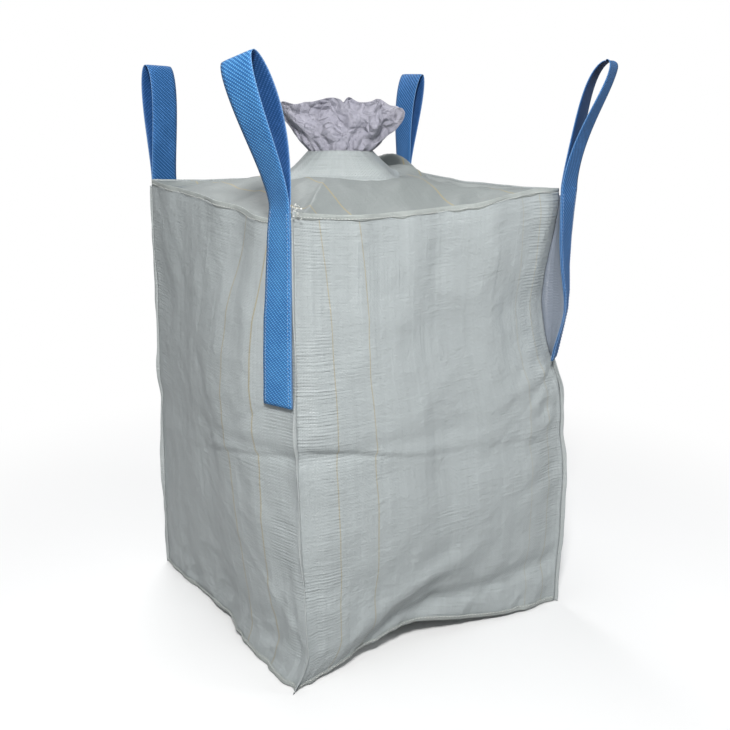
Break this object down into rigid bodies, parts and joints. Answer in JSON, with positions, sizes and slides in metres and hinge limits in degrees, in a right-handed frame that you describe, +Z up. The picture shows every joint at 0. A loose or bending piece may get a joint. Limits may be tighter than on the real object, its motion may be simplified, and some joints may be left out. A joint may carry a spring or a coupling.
{
  "type": "bulk bag",
  "caption": "Tall square woven bulk bag with a webbing lifting loop at each top corner, sewn corner seams and a gathered filling spout on the closed top.",
  "frame": {"origin": "centre of the underside of the base", "axes": "+Z up through the spout; front wall faces -Y, left wall faces -X"},
  "size_m": [0.8786, 0.7637, 1.2685],
  "materials": {
    "body_fabric": "woven, lightly coated",
    "top_fabric": "woven, lightly coated",
    "hem_fabric": "doubled woven fabric",
    "seam_fabric": "doubled woven fabric",
    "spout_fabric": "thin crumpled woven fabric",
    "webbing": "twill webbing",
    "thread": "sewing thread"
  },
  "bodies": {
    "bag": {"base_hem_back": "hem_fabric", "base_hem_front": "hem_fabric", "base_hem_left": "hem_fabric", "base_hem_right": "hem_fabric", "base_hem_thread": "thread", "corner_seam_back_left": "seam_fabric", "corner_seam_back_right": "seam_fabric", "corner_seam_front_left": "seam_fabric", "corner_seam_front_right": "seam_fabric", "leg_thread_back_left": "thread", "leg_thread_back_right": "thread", "leg_thread_front_left": "thread", "leg_thread_front_right": "thread", "loop_legs_back_left": "webbing", "loop_legs_back_right": "webbing", "loop_legs_front_left": "webbing", "loop_legs_front_right": "webbing", "panel_back": "body_fabric", "panel_base": "body_fabric", "panel_front": "body_fabric", "panel_left": "body_fabric", "panel_right": "body_fabric", "panel_top": "top_fabric", "spout_collar": "top_fabric", "top_hem_back": "hem_fabric", "top_hem_front": "hem_fabric", "top_hem_left": "hem_fabric", "top_hem_right": "hem_fabric"},
    "loop_front_left": {"loop_front_left": "webbing"},
    "loop_front_right": {"loop_front_right": "webbing"},
    "loop_back_right": {"loop_back_right": "webbing"},
    "loop_back_left": {"loop_back_left": "webbing"},
    "spout": {"fill_spout": "spout_fabric"}
  },
  "joints": [
    {"name": "loop_front_left_swing", "type": "hinge", "parent": "bag", "child": "loop_front_left", "pos_m": [-0.33762, -0.29407, 0.9945], "axis": [0, -1, 0], "range_deg": [-75, 130]},
    {"name": "loop_front_right_swing", "type": "hinge", "parent": "bag", "child": "loop_front_right", "pos_m": [0.34139, -0.33861, 0.9945], "axis": [0.9976, 0.0698, 0], "range_deg": [-75, 130]},
    {"name": "loop_back_right_swing", "type": "hinge", "parent": "bag", "child": "loop_back_right", "pos_m": [0.33762, 0.29407, 0.9945], "axis": [0, 1, 0], "range_deg": [-75, 130]},
    {"name": "loop_back_left_swing", "type": "hinge", "parent": "bag", "child": "loop_back_left", "pos_m": [-0.29407, 0.33762, 0.9945], "axis": [-1, 0, 0], "range_deg": [-75, 130]},
    {"name": "spout_fold", "type": "hinge", "parent": "bag", "child": "spout", "pos_m": [-0.02, 0.079, 1.069], "axis": [-1, 0, 0], "range_deg": [0, 75]}
  ]
}
